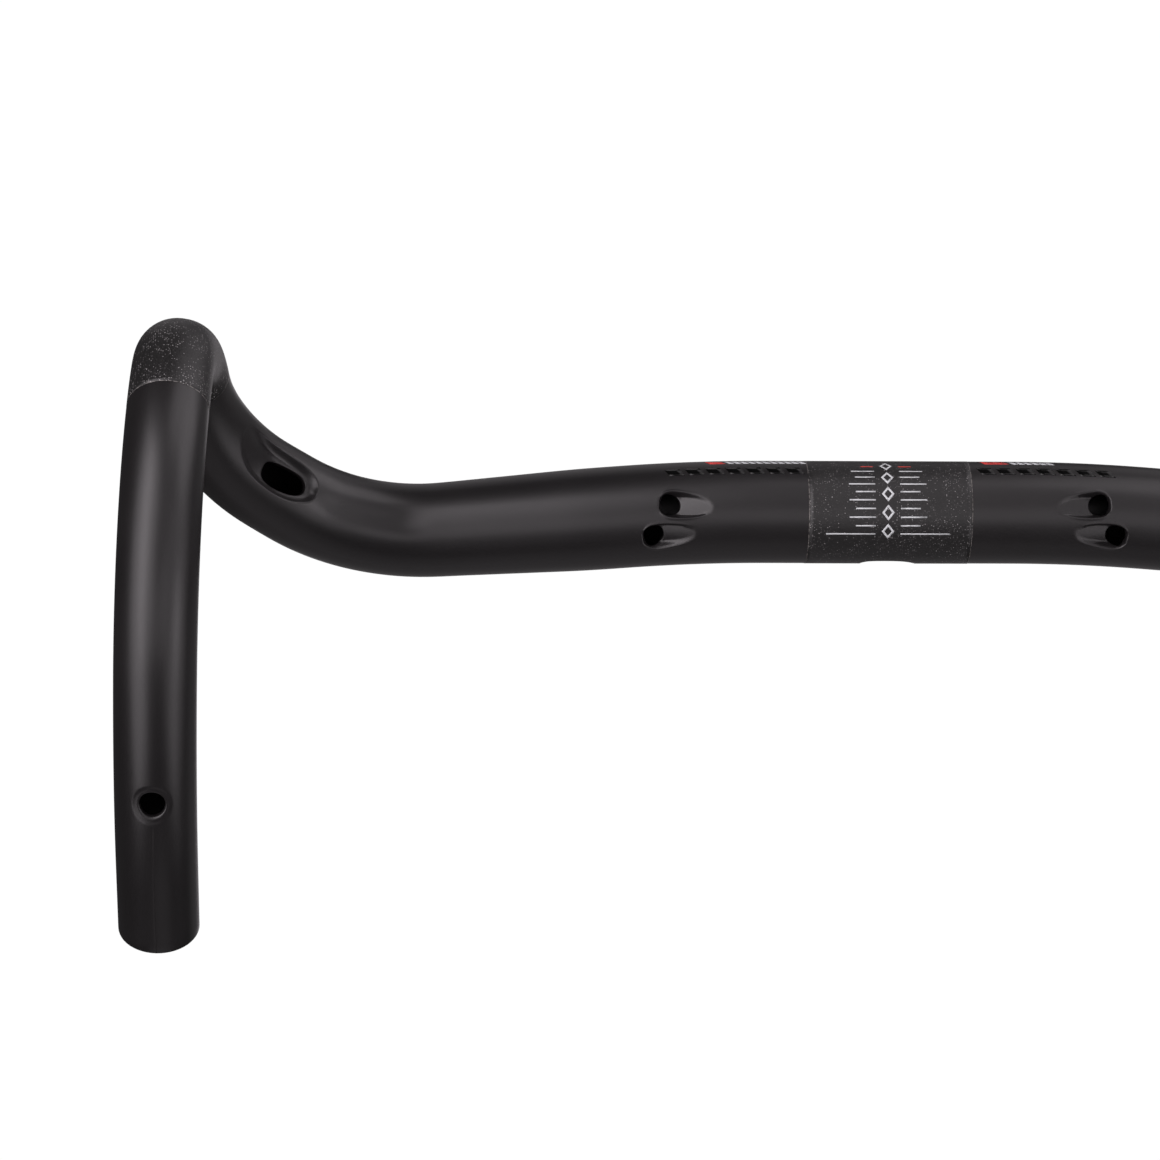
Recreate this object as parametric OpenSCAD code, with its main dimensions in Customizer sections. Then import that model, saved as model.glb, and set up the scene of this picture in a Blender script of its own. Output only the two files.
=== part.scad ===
// Carbon drop handlebar for a road bicycle.
// Origin: middle of the stem clamp zone. +X to the rider's right, +Y forward, +Z up.
// The centre line is followed outwards from the middle, and the left half mirrors the right one.

/* [Stem zone] */
// Outer diameter where the stem clamps
clamp_d = 31.8; // [31.6:0.1:32]
// Half the length of the straight stem section
stem_half = 38; // [34:1:42]
// Width of the grit coat, which is the clamp zone
grit_w = 50.5; // [46:0.5:60]
// Width of the rear cable opening
rear_port_w = 19; // [14:1:24]
// Height of the rear cable opening
rear_port_h = 10; // [8:0.5:11]
// Angle of the rear cable opening below straight back, in degrees
rear_port_deg = 47; // [30:1:60]

/* [Tops] */
// Backsweep of the flats, in degrees
sweep_deg = 6; // [4:0.5:8]
// Radius of the backsweep bend
sweep_r = 400; // [360:10:440]
// Length of the straight flat on each side
flat_len = 59; // [50:0.5:64]
// Part of the flat that keeps the clamp diameter
flat_full_len = 15; // [10:1:20]
// Diameter of the corner bend
corner_d = 28.8; // [28.2:0.2:29.6]
// Radius of the corner bend
corner_r = 62; // [56:1:70]
// Heading of the tube after the corner bend, forward of straight sideways, in degrees
corner_deg = 40; // [36:0.5:44]
// Straight length between the corner bend and the ramp bend
ramp_gap = 8; // [4:0.5:10]
// Radius of the ramp bend
ramp_r = 66; // [60:1:72]
// Outward angle of the ramp's front end, in degrees
ramp_out_deg = 6.5; // [0:0.5:8]
// Straight length between the ramp bend and the shoulder
ramp_end = 2; // [2:0.5:8]

/* [Hooks and drops] */
// Outer diameter of hooks and drops
hook_d = 24; // [23.8:0.1:24.2]
// Outward lean of the shoulder, in degrees
lean_deg = 1; // [0:0.5:3]
// Bend radius of the shoulder on both sides of the lever seat
seat_r = 20; // [20:1:26]
// Length of the straight lever seat
seat_len = 10; // [8:1:14]
// Slope of the lever seat below level, in degrees
seat_deg = 45; // [40:1:50]
// Slope where the shoulder ends, in degrees
shoulder_deg = 77.5; // [74:0.5:84]
// Outward turn of the hook below the shoulder, in degrees
splay_deg = 6.5; // [4:0.5:9]
// Radius of the hook
hook_r = 79; // [74:1:90]
// Slope where the hook passes into the drop, in degrees
hook_deg = 151; // [146:0.5:155]
// Radius of the drop
drop_r = 173; // [150:1:190]
// Slope of the straight end of the drop, in degrees
drop_deg = 171.5; // [168:0.5:174]
// Length of the straight end of the drop
end_len = 25.5; // [22:0.5:30]

/* [Wall and coats] */
// Wall of the shell
wall = 1.8; // [1.5:0.1:2.2]
// Thickness of the inner reinforcement plies
ply_t = 0.8; // [0.5:0.1:1]
// Thickness of the grit coats
coat_t = 0.05; // [0.04:0.01:0.08]
// Thickness of the printed marks
print_t = 0.03; // [0.03:0.01:0.05]
// Length of the lever grit coat past the shoulder
coat_tail = 19; // [12:1:24]

/* [Cable ports] */
// Diameter of the exit ports beside the stem
exit_d = 6; // [5.8:0.1:6.6]
// Distance of the upper exit port from the middle, along the tube
upper_exit_s = 66; // [62:1:70]
// Distance of the lower exit port from the middle, along the tube
lower_exit_s = 71.5; // [68:0.5:76]
// Angle of the upper exit port below straight ahead, in degrees
upper_exit_deg = 33; // [25:1:40]
// Angle of the lower exit port below straight ahead, in degrees
lower_exit_deg = 70; // [60:1:75]
// Length of the entry slot in the ramp
entry_len = 17; // [14:0.5:18]
// Width of the entry slot in the ramp
entry_w = 7.4; // [7:0.1:8]
// Angle of the entry slot below level, in degrees
entry_deg = 36; // [30:1:42]
// Slant of the entry slot across the tube, in degrees
entry_slant = 10; // [0:1:20]
// Place of the entry slot past the start of the ramp bend, in degrees
entry_bend_deg = 4.2; // [3:0.1:8]
// Diameter of the wire port under the drop
wire_d = 7.7; // [6:0.1:8]
// Distance of the wire port from the end of the drop
wire_from_end = 53.5; // [45:0.5:60]

/* [Stem scale] */
// Angle between two graduation lines, in degrees
line_step = 9.67; // [8:0.01:10]
// Angle of the lowest line below straight ahead, in degrees
line_start = 69; // [60:1:75]
// Width of a graduation line
line_w = 0.45; // [0.3:0.05:0.6]
// Gap from the middle to the lines' inner ends
line_gap = 3.6; // [3:0.1:5]
// Width of a centre mark
mark_w = 3.9; // [3:0.1:4.5]
// Height of a centre mark
mark_h = 5; // [4:0.1:5.2]
// Line width of a centre mark
mark_line = 0.8; // [0.5:0.1:1]

/* [Prints beside the stem] */
// Distance of the first gloss mark from the middle, along the tube
gloss_start = 26; // [26:0.5:28]
// Distance from one gloss mark to the next
gloss_step = 6; // [5.5:0.1:6]
// Length of a gloss mark
gloss_len = 4.5; // [3.5:0.1:5]
// Length of a red block
red_len = 4.7; // [4:0.1:5.5]
// Length of a pale strip
strip_len = 11.5; // [8:0.5:12]

/* [Hidden] */
$fn = 96;

clamp_r = clamp_d / 2;
shell_r = clamp_r - coat_t;
hook_shell_r = hook_d / 2 - coat_t;
corner_tube_r = corner_d / 2;
ramp_deg = 90 - corner_deg - ramp_out_deg;
tail_deg = coat_tail / hook_r * 180 / PI;
drop_arc_len = drop_r * (drop_deg - hook_deg) * PI / 180;
wire_arc_deg = (drop_arc_len + end_len - wire_from_end) / drop_r * 180 / PI;
ply_half = grit_w / 2 + 5;
// Length of the drills that cut the ports, and how far inside the surface they start
drill = 10;
drill_in = 5;
// Hairline between the sections of a coat
hair = 0.02;

carbon = [0.055, 0.055, 0.06];
grit = [0.11, 0.11, 0.12];
resin = [0.16, 0.15, 0.14];
gloss = [0.02, 0.02, 0.02];
pale = [0.72, 0.74, 0.75];
red = [0.75, 0.08, 0.08];

// Line lengths from the lowest line upwards; the last one is the red zero line
long_line = 15.5;
even_line = 8.4;
odd_line = 6.1;
zero_line = 3.9;
line_count = 10;
mark_count = 5;
mark_step = 21.3;
mark_start = 65.8;

// Angles above straight ahead of the gloss marks and of the red and pale prints
gloss_from = 3.5;
gloss_to = 15.5;
colour_from = 26;
colour_to = 36;
gloss_count = 7;
// Distances from the start of the backsweep to the prints, along the tube
right_red_at = 13;
left_red_at = -7;
strip_at = 0.5;

// Stations along the centre line: local x points along the tube, y to the left and z up
function shift(x, y, z) = [[1, 0, 0, x], [0, 1, 0, y], [0, 0, 1, z], [0, 0, 0, 1]];
function spin_x(a) = [[1, 0, 0, 0], [0, cos(a), -sin(a), 0], [0, sin(a), cos(a), 0], [0, 0, 0, 1]];
function spin_y(a) = [[cos(a), 0, sin(a), 0], [0, 1, 0, 0], [-sin(a), 0, cos(a), 0], [0, 0, 0, 1]];
function spin_z(a) = [[cos(a), -sin(a), 0, 0], [sin(a), cos(a), 0, 0], [0, 0, 1, 0], [0, 0, 0, 1]];
function go(len) = shift(len, 0, 0);
function turn_left(r, a) = shift(0, r, 0) * spin_z(a) * shift(0, -r, 0);
function turn_right(r, a) = shift(0, -r, 0) * spin_z(-a) * shift(0, r, 0);
function turn_down(r, a) = shift(0, 0, -r) * spin_y(a) * shift(0, 0, r);

at_sweep = go(stem_half);
at_flat = at_sweep * turn_right(sweep_r, sweep_deg);
at_corner = at_flat * go(flat_len);
at_gap = at_corner * turn_left(corner_r, sweep_deg + corner_deg);
at_ramp = at_gap * go(ramp_gap);
at_front = at_ramp * turn_left(ramp_r, ramp_deg);
at_shoulder = at_front * go(ramp_end) * spin_x(-lean_deg);
at_seat = at_shoulder * turn_down(seat_r, seat_deg);
at_seat_end = at_seat * go(seat_len);
at_hook = at_seat_end * turn_down(seat_r, shoulder_deg - seat_deg) * spin_x(-splay_deg);
at_drop = at_hook * turn_down(hook_r, hook_deg - shoulder_deg);
at_end = at_drop * turn_down(drop_r, drop_deg - hook_deg);

// Bar pieces in a station's frame
module ring(r, t) {
    difference() {
        circle(r = r);
        circle(r = r - t);
    }
}

module straight_tube(len, r, t) {
    rotate([0, 90, 0]) difference() {
        cylinder(h = len, r = r);
        translate([0, 0, -1]) cylinder(h = len + 2, r = r - t);
    }
}

module taper_tube(len, r1, r2, t) {
    rotate([0, 90, 0]) difference() {
        cylinder(h = len, r1 = r1, r2 = r2);
        cylinder(h = len, r1 = r1 - t, r2 = r2 - t);
    }
}

// The 2-D children lie in the cross section: x is local y for a bend to the right
module right_bend(r, a) {
    translate([0, -r, 0]) rotate([0, 0, 90 - a]) rotate_extrude(angle = a) translate([r, 0]) children();
}

module left_bend(r, a) {
    translate([0, r, 0]) rotate([0, 0, -90]) rotate_extrude(angle = a) translate([r, 0]) children();
}

module down_bend(r, a) {
    rotate([-90, 0, 0]) left_bend(r, a) children();
}

// Part of a thin sleeve on the round tube, from angle a1 to a2 above local y
module band(len, r, t, a1, a2) {
    rotate([0, 90, 0]) rotate([0, 0, a1 + 90]) rotate_extrude(angle = a2 - a1)
        translate([r, 0]) square([t, len]);
}

function arc_points(r, a1, a2, n = 10) = [for (i = [0:n]) let (a = a1 + (a2 - a1) * i / n) r * [cos(a), sin(a)]];

module sector(r, t, a1, a2) {
    polygon(concat(arc_points(r, a1, a2), arc_points(r + t, a2, a1)));
}

// A printed patch from s1 to s2 along the tube, on the stem section or on the backsweep
module patch(s1, s2, a1, a2) {
    if (s1 < stem_half)
        translate([s1, 0, 0]) band(s2 - s1, shell_r, print_t, a1, a2);
    else
        multmatrix(at_sweep * turn_right(sweep_r, arc_deg(s1 - stem_half)))
            right_bend(sweep_r, arc_deg(s2 - s1)) sector(shell_r, print_t, a1, a2);
}

function arc_deg(len) = len / sweep_r * 180 / PI;

module round_slot(len, w, h) {
    for (end = [-1, 1]) translate([end * (len - w) / 2, 0, 0]) cylinder(h = h, r = w / 2);
    translate([-(len - w) / 2, -w / 2, 0]) cube([len - w, w, h]);
}

// Cutter of the rear opening, from inside the bore out through the wall
module rear_opening() {
    rotate([rear_port_deg, 0, 0]) translate([0, drill_in - clamp_r, 0]) rotate([90, 0, 0])
        round_slot(rear_port_w, rear_port_h, drill);
}

// Hollow tapered sweep round the ramp bend, with triangles between the rings
ramp_sides = 32;
ramp_steps = 13;

function ramp_radius(u) = corner_tube_r - (corner_tube_r - hook_shell_r) * pow(u, 1.4);
function circle_at(frame, r) = [for (i = [0:ramp_sides - 1]) let (a = 360 * i / ramp_sides,
    p = frame * [0, r * cos(a), r * sin(a), 1]) [p.x, p.y, p.z]];
function ramp_rings(inset) = [
    circle_at(at_gap, corner_tube_r - inset),
    for (k = [0:ramp_steps]) let (u = k / ramp_steps)
        circle_at(at_ramp * turn_left(ramp_r, ramp_deg * u), ramp_radius(u) - inset),
    circle_at(at_shoulder, hook_shell_r - inset)
];
function flat_list(rings) = [for (ring = rings) for (p = ring) p];
function quad(a, b, c, d) = [[a, b, c], [a, c, d]];
function skin(base, rings, inward) = [for (k = [0:rings - 2]) for (i = [0:ramp_sides - 1])
    let (j = (i + 1) % ramp_sides, a = base + k * ramp_sides, b = a + ramp_sides)
    for (t = inward ? quad(a + i, b + i, b + j, a + j) : quad(a + i, a + j, b + j, b + i)) t];
function rim(outer, inner, front) = [for (i = [0:ramp_sides - 1]) let (j = (i + 1) % ramp_sides)
    for (t = front ? quad(outer + i, outer + j, inner + j, inner + i)
        : quad(outer + i, inner + i, inner + j, outer + j)) t];

module ramp_shell() {
    rings = ramp_steps + 3;
    inner = rings * ramp_sides;
    last = (rings - 1) * ramp_sides;
    polyhedron(
        points = concat(flat_list(ramp_rings(0)), flat_list(ramp_rings(wall))),
        faces = concat(skin(0, rings, false), skin(inner, rings, true),
            rim(0, inner, false), rim(last, inner + last, true)));
}

// The middle of the bar, in two halves that meet at the middle plane
module stem_half_tube() {
    color(carbon) difference() {
        straight_tube(stem_half, shell_r, wall);
        rear_opening();
    }
}

module stem_reinforcement() {
    color(resin) difference() {
        translate([-ply_half, 0, 0]) straight_tube(2 * ply_half, shell_r - wall, ply_t);
        rear_opening();
    }
}

module stem_grip_coat() {
    color(grit) for (side = [0, 1]) mirror([side, 0, 0]) difference() {
        translate([hair / 2, 0, 0]) straight_tube((grit_w - hair) / 2, clamp_r, coat_t);
        rear_opening();
    }
}

function line_len(i) = i == 0 ? long_line : i % 2 == 0 ? even_line : odd_line;

module graduation(i, len) {
    half = line_w / clamp_r * 90 / PI;
    a = i * line_step - line_start;
    for (x = [line_gap, -line_gap - len])
        translate([x, 0, 0]) band(len, clamp_r, print_t, a - half, a + half);
}

module scale_lines() {
    color(pale) for (i = [0:line_count - 2]) graduation(i, line_len(i));
}

module zero_lines() {
    color(red) graduation(line_count - 1, zero_line);
}

// Plain open lozenges in a row
module lozenge(w, h) {
    polygon([[-w / 2, 0], [0, -h / 2], [w / 2, 0], [0, h / 2]]);
}

module centre_marks() {
    color(pale) intersection() {
        translate([-mark_w, 0, 0]) straight_tube(2 * mark_w, clamp_r + print_t, print_t);
        for (i = [0:mark_count - 1]) rotate([i * mark_step - mark_start, 0, 0])
            rotate([-90, 0, 0]) linear_extrude(clamp_r + 1) difference() {
                lozenge(mark_w, mark_h);
                lozenge(mark_w - 2 * mark_line, mark_h - 2 * mark_line * mark_h / mark_w);
            }
    }
}

// The right half of the bar, from the backsweep to the drop end
module backsweep() {
    color(carbon) difference() {
        multmatrix(at_sweep) right_bend(sweep_r, sweep_deg) ring(shell_r, wall);
        // The upper port runs straight forward, the lower one straight down
        exit_place(upper_exit_s, upper_exit_deg) rotate([-90, 0, 0])
            cylinder(h = drill, r = exit_d / 2, center = true);
        exit_place(lower_exit_s, lower_exit_deg) cylinder(h = drill, r = exit_d / 2, center = true);
    }
}

// A point inside the wall, at s along the tube and a degrees below straight ahead
module exit_place(s, a) {
    multmatrix(at_sweep * turn_right(sweep_r, arc_deg(s - stem_half)))
        translate((shell_r - wall / 2) * [0, cos(a), -sin(a)])
        rotate([0, 0, arc_deg(s - stem_half)]) children();
}

module flat() {
    color(carbon) multmatrix(at_flat) {
        straight_tube(flat_full_len, shell_r, wall);
        translate([flat_full_len, 0, 0]) taper_tube(flat_len - flat_full_len, shell_r, corner_tube_r, wall);
    }
}

module corner() {
    color(carbon) multmatrix(at_corner) left_bend(corner_r, sweep_deg + corner_deg) ring(corner_tube_r, wall);
}

module ramp() {
    color(carbon) difference() {
        ramp_shell();
        multmatrix(at_ramp * turn_left(ramp_r, entry_bend_deg) * spin_x(-entry_deg))
            translate([0, corner_tube_r - drill_in, 0]) rotate([-90, 0, 0]) rotate([0, 0, entry_slant])
            round_slot(entry_len, entry_w, drill);
    }
}

module shoulder_top() {
    color(carbon) multmatrix(at_shoulder) down_bend(seat_r, seat_deg) ring(hook_shell_r, wall);
}

module lever_seat() {
    color(carbon) multmatrix(at_seat) straight_tube(seat_len, hook_shell_r, wall);
}

module shoulder_bottom() {
    color(carbon) multmatrix(at_seat_end) down_bend(seat_r, shoulder_deg - seat_deg) ring(hook_shell_r, wall);
}

module lever_reinforcement() {
    color(resin) multmatrix(at_seat) straight_tube(seat_len, hook_shell_r - wall, ply_t);
}

// The lever grit coat follows both shoulder bends and the lever seat, and ends on the hook
module lever_grip_coat() {
    seat_hair = hair / seat_r * 180 / PI;
    color(grit) {
        multmatrix(at_shoulder) down_bend(seat_r, seat_deg - seat_hair) ring(hook_d / 2, coat_t);
        multmatrix(at_seat) straight_tube(seat_len, hook_d / 2, coat_t);
        multmatrix(at_seat_end * turn_down(seat_r, seat_hair))
            down_bend(seat_r, shoulder_deg - seat_deg - 2 * seat_hair) ring(hook_d / 2, coat_t);
        multmatrix(at_hook) down_bend(hook_r, tail_deg) ring(hook_d / 2, coat_t);
    }
}

module hook() {
    color(carbon) multmatrix(at_hook) down_bend(hook_r, hook_deg - shoulder_deg) ring(hook_shell_r, wall);
}

module drop() {
    color(carbon) difference() {
        multmatrix(at_drop) down_bend(drop_r, drop_deg - hook_deg) ring(hook_shell_r, wall);
        multmatrix(at_drop * turn_down(drop_r, wire_arc_deg)) translate([0, 0, hook_shell_r - drill_in])
            cylinder(h = drill, r = wire_d / 2);
    }
}

module drop_end() {
    color(carbon) multmatrix(at_end) straight_tube(end_len, hook_shell_r, wall);
}

// Each patch lies on one side of the line where the backsweep starts
module gloss_marks() {
    color(gloss) for (i = [0:gloss_count - 1]) let (s = gloss_start + i * gloss_step)
        patch(s, s + gloss_len, gloss_from, gloss_to);
}

module red_block(at) {
    color(red) patch(stem_half + at, stem_half + at + red_len, colour_from, colour_to);
}

module pale_strip() {
    color(pale) patch(stem_half + strip_at, stem_half + strip_at + strip_len, colour_from, colour_to);
}

module left_half() {
    mirror([1, 0, 0]) children();
}

stem_half_tube();  // right_stem_half
left_half() stem_half_tube();  // left_stem_half
stem_reinforcement();
stem_grip_coat();
scale_lines();
zero_lines();
centre_marks();
backsweep();  // right_backsweep
left_half() backsweep();  // left_backsweep
flat();  // right_flat
left_half() flat();  // left_flat
corner();  // right_corner
left_half() corner();  // left_corner
ramp();  // right_ramp
left_half() ramp();  // left_ramp
shoulder_top();  // right_shoulder_top
left_half() shoulder_top();  // left_shoulder_top
lever_seat();  // right_lever_seat
left_half() lever_seat();  // left_lever_seat
shoulder_bottom();  // right_shoulder_bottom
left_half() shoulder_bottom();  // left_shoulder_bottom
hook();  // right_hook
left_half() hook();  // left_hook
drop();  // right_drop
left_half() drop();  // left_drop
drop_end();  // right_drop_end
left_half() drop_end();  // left_drop_end
lever_reinforcement();  // right_lever_reinforcement
left_half() lever_reinforcement();  // left_lever_reinforcement
lever_grip_coat();  // right_lever_grip_coat
left_half() lever_grip_coat();  // left_lever_grip_coat
gloss_marks();  // right_gloss_marks
left_half() gloss_marks();  // left_gloss_marks
red_block(right_red_at);  // right_red_block
left_half() red_block(left_red_at);  // left_red_block
pale_strip();  // right_pale_strip
left_half() pale_strip();  // left_pale_strip
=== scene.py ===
from math import radians, tan

import bpy
import numpy as np
from mathutils import Matrix, Vector


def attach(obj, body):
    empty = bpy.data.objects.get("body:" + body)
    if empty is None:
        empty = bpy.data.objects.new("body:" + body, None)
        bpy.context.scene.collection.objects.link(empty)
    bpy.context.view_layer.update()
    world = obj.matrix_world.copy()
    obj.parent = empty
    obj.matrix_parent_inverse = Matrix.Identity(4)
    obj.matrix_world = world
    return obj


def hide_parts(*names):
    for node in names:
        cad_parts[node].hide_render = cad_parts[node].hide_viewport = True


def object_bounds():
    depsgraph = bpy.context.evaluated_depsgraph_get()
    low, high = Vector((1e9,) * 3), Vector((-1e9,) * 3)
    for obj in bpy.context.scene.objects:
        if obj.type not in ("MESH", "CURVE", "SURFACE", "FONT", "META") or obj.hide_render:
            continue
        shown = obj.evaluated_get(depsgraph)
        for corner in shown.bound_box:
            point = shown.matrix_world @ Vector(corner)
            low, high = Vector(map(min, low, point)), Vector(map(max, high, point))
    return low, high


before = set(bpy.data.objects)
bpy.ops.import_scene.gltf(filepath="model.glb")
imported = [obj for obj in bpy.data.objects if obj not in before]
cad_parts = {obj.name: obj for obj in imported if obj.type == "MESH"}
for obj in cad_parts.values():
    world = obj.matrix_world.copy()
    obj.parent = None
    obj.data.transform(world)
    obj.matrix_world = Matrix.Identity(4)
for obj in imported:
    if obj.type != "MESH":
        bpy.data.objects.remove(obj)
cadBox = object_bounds()
print("frame loaded:", len(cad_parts), "nodes")

# Lengths below are in millimetres and angles in degrees; meshes are made in metres.
mm = 0.001
sides = {"right": 1, "left": -1}

# The centre line of the right half, followed outwards from the middle of the bar
barPath = {
    "stem": 38.0, "sweepRadius": 400.0, "sweep": 6.0, "flat": 59.0,
    "cornerRadius": 62.0, "corner": 46.0, "gap": 8.0, "rampRadius": 66.0, "ramp": 43.5, "front": 2.0,
    "seatRadius": 20.0, "shoulderTop": 45.0, "seat": 10.0, "shoulderBottom": 32.5,
    "hookRadius": 79.0, "hook": 73.5, "dropRadius": 173.0, "drop": 20.5, "end": 25.5,
    "lean": 1.0,     # outward lean of the shoulder
    "splay": 6.5,    # outward turn of the hook
    "blend": 7.0,    # length over which one curvature passes into the next
}
# Radius of the shell in the stem zone and where each later stretch ends, how far past the sweep the stem's
# radius goes on, the length over which one taper passes into the next, the wall and the rounding of its end
barSize = {"stem": 15.85, "corner": 14.55, "ramp": 14.15, "rampMiddle": 13.55, "hook": 11.95,
           "full": 15.0, "taper": 16.0, "wall": 1.8, "rim": 0.35}


def arc(radius, angle):
    return radius * radians(angle)


def layOut(p):
    # Each leg: its name, its length, and how far it turns the heading and the slope
    legs = [("stem", p["stem"], 0, 0),
            ("sweep", arc(p["sweepRadius"], p["sweep"]), -p["sweep"], 0),
            ("flat", p["flat"], 0, 0),
            ("corner", arc(p["cornerRadius"], p["corner"]), p["corner"], 0),
            ("gap", p["gap"], 0, 0),
            ("ramp", arc(p["rampRadius"], p["ramp"]), p["ramp"], 0),
            ("front", p["front"], 0, 0),
            ("shoulderTop", arc(p["seatRadius"], p["shoulderTop"]), 0, p["shoulderTop"]),
            ("seat", p["seat"], 0, 0),
            ("shoulderBottom", arc(p["seatRadius"], p["shoulderBottom"]), 0, p["shoulderBottom"]),
            ("hook", arc(p["hookRadius"], p["hook"]), 0, p["hook"]),
            ("drop", arc(p["dropRadius"], p["drop"]), 0, p["drop"]),
            ("end", p["end"], 0, 0)]
    length, heading, slope = (np.concatenate([[0], np.cumsum([leg[k] for leg in legs])]) for k in (1, 2, 3))
    return {leg[0]: end for leg, end in zip(legs, length[1:])}, length, heading, slope


legEnd, legLength, legHeading, legSlope = layOut(barPath)
barLength = legLength[-1]
tableStep = 0.1  # spacing of the tables that hold the centre line and the radius
tableS = np.linspace(0, barLength, round(barLength / tableStep) + 1)


def rounded(values, width):
    # Mean over a window of that width along the centre line, which turns steps in curvature into ramps
    count = 2 * int(width / tableStep / 2) + 1
    padded = np.pad(values, count // 2, mode="edge")
    return np.convolve(padded, np.ones(count) / count, mode="valid")


def turn(axis, angle):
    # Rotation matrices about x (0), y (1) or z (2), one for each angle
    c, s = np.cos(np.radians(angle)), np.sin(np.radians(angle))
    matrix = np.zeros(np.shape(angle) + (3, 3))
    i, j = (axis + 1) % 3, (axis + 2) % 3
    matrix[..., axis, axis] = 1
    matrix[..., i, i] = matrix[..., j, j] = c
    matrix[..., i, j], matrix[..., j, i] = -s, s
    return matrix


def frameTable(p):
    # The tube's frame is heading about z, lean, slope of the shoulder, splay, slope of the hook. A last turn
    # about the tube takes lean and splay back, so that ring angle 0 is ahead on the tops and 90 is up.
    heading = rounded(np.interp(tableS, legLength, legHeading), p["blend"])
    slope = rounded(np.interp(tableS, legLength, legSlope), p["blend"])
    first = np.minimum(slope, p["shoulderTop"] + p["shoulderBottom"])
    axes = (turn(2, heading) @ turn(0, -p["lean"]) @ turn(1, first) @ turn(0, -p["splay"])
            @ turn(1, slope - first) @ turn(0, p["lean"] + p["splay"]))
    # The centre line is the running sum of the tangent, by the trapezoid rule
    tangent = axes[:, :, 0]
    steps = (tangent[1:] + tangent[:-1]) / 2 * (tableS[1] - tableS[0])
    return np.vstack([np.zeros(3), np.cumsum(steps, axis=0)]), axes[:, :, 1], axes[:, :, 2]


centreTable, aheadTable, upTable = frameTable(barPath)


def radiusTable(b):
    stations = [0, legEnd["sweep"] + b["full"], legEnd["flat"], legEnd["gap"],
                (legEnd["gap"] + legEnd["ramp"]) / 2, legEnd["ramp"], barLength]
    radii = [b["stem"], b["stem"], b["corner"], b["ramp"], b["rampMiddle"], b["hook"], b["hook"]]
    return rounded(np.interp(tableS, stations, radii), b["taper"])


shellTable = radiusTable(barSize)


def shellRadius(s):
    return np.interp(np.abs(s), tableS, shellTable)


def lookUp(s, table):
    return np.stack([np.interp(np.abs(s), tableS, table[:, k]) for k in range(3)], axis=-1)


def tubePoint(s, phi, radius):
    # A point is centre(s) + radius * (cos(phi) * ahead(s) + sin(phi) * up(s)). Where s is below 0 the point
    # is mirrored in the middle plane, so one grid runs from the left bar end to the right one.
    s, phi, radius = np.broadcast_arrays(s, np.radians(phi), radius)
    point = (lookUp(s, centreTable) + (radius * np.cos(phi))[..., None] * lookUp(s, aheadTable)
             + (radius * np.sin(phi))[..., None] * lookUp(s, upTable))
    point[..., 0] *= np.where(s < 0, -1, 1)
    return point * mm


def smoothStep(x):
    # 0 up to x = 0, 1 from x = 1, and 3 x ** 2 - 2 x ** 3 between
    x = np.clip(x, 0, 1)
    return x * x * (3 - 2 * x)


# Each kind of port: half length and half width of the hole, its slant, the power of its outline (2 is an
# ellipse, more is squarer), its lip, the window cut in the grid (inwards, outwards, down, up), and the rings
# between the window's edge and the lip
portSize = {
    "upperExit": dict(hole=(2.95, 3.55), slant=0, power=2.4, lip=0.4, window=(16, 8, 5.2, 6.6), rings=24),
    "lowerExit": dict(hole=(2.95, 3.55), slant=0, power=2.4, lip=0.4, window=(16, 8, 6.6, 5.2), rings=24),
    "entry": dict(hole=(9.2, 4.9), slant=-8, power=2.5, lip=0.5, window=(16, 30, 9.5, 10), rings=30),
    "wire": dict(hole=(3.85, 3.85), slant=0, power=2, lip=0.8, window=(9, 9, 8.5, 8.5), rings=16),
    "rear": dict(hole=(8.0, 4.5), slant=0, power=3, lip=0.6, window=(13, 13, 8, 8), rings=8),
}


def port(kind, side, at, angle, tilt=0):
    return dict(portSize[kind], kind=kind, side=side, at=at, angle=angle, tilt=tilt)


# Each port's kind, its side (0 is the middle), distance from the middle, ring angle, and tilt of its scoop
rearPort = port("rear", 0, 0, -133)
ports = [port("upperExit", 1, 67.5, -32.7, 8), port("lowerExit", 1, 72.9, -70.4, -5),
         port("upperExit", -1, 63.4, -32.2, 8), port("lowerExit", -1, 69.2, -69.8, -5), rearPort]
ports += [port("entry", side, 199.8, -32.0) for side in (1, -1)]
ports += [port("wire", side, 421.2, 82.5) for side in (1, -1)]


def localPlace(p, s, phi):
    # Distances from the hole's middle: outwards along the tube, and up round it
    x = s * p["side"] - p["at"] if p["side"] else s
    return x, shellRadius(p["at"]) * np.radians(phi - p["angle"])


exitScoop = {"deep": 2.5, "wide": 4.3, "widest": 1.0, "reach": 13.0, "level": 3.0, "behind": 3.5,
             "tail": 1.2, "end": 1.6, "thin": 0.3, "wall": 0.26, "rim": 0.16, "rimWide": 0.11}


def scoopDepth(p, x, y):
    # A bullet-shaped scoop, with u along it towards the stem and v across it. Its half width is
    # wide * sqrt(1 - t ** 2), and its floor rises from full depth near the hole to nothing at its tip.
    # A fine rim stands up along its edge.
    e = exitScoop
    c, s = np.cos(radians(p["tilt"])), np.sin(radians(p["tilt"]))
    u, v = -x * c - y * s, -x * s + y * c
    ahead = (u - e["widest"]) / (e["reach"] - e["widest"])
    t = np.where(u > e["widest"], ahead, (e["widest"] - u) / (e["behind"] + e["tail"]))
    half = e["wide"] * np.sqrt(np.clip(1 - t * t, 0, None))
    level = np.clip((e["reach"] - u) / (e["reach"] - e["level"]), 0, 1)
    floor = level * smoothStep((u + e["behind"]) / e["end"])
    inside = 1 - np.abs(v) / np.maximum(half, e["thin"])
    rim = e["rim"] * np.exp(-(inside / e["rimWide"]) ** 2)
    return floor * (e["deep"] * smoothStep(inside / e["wall"]) - rim)


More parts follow.
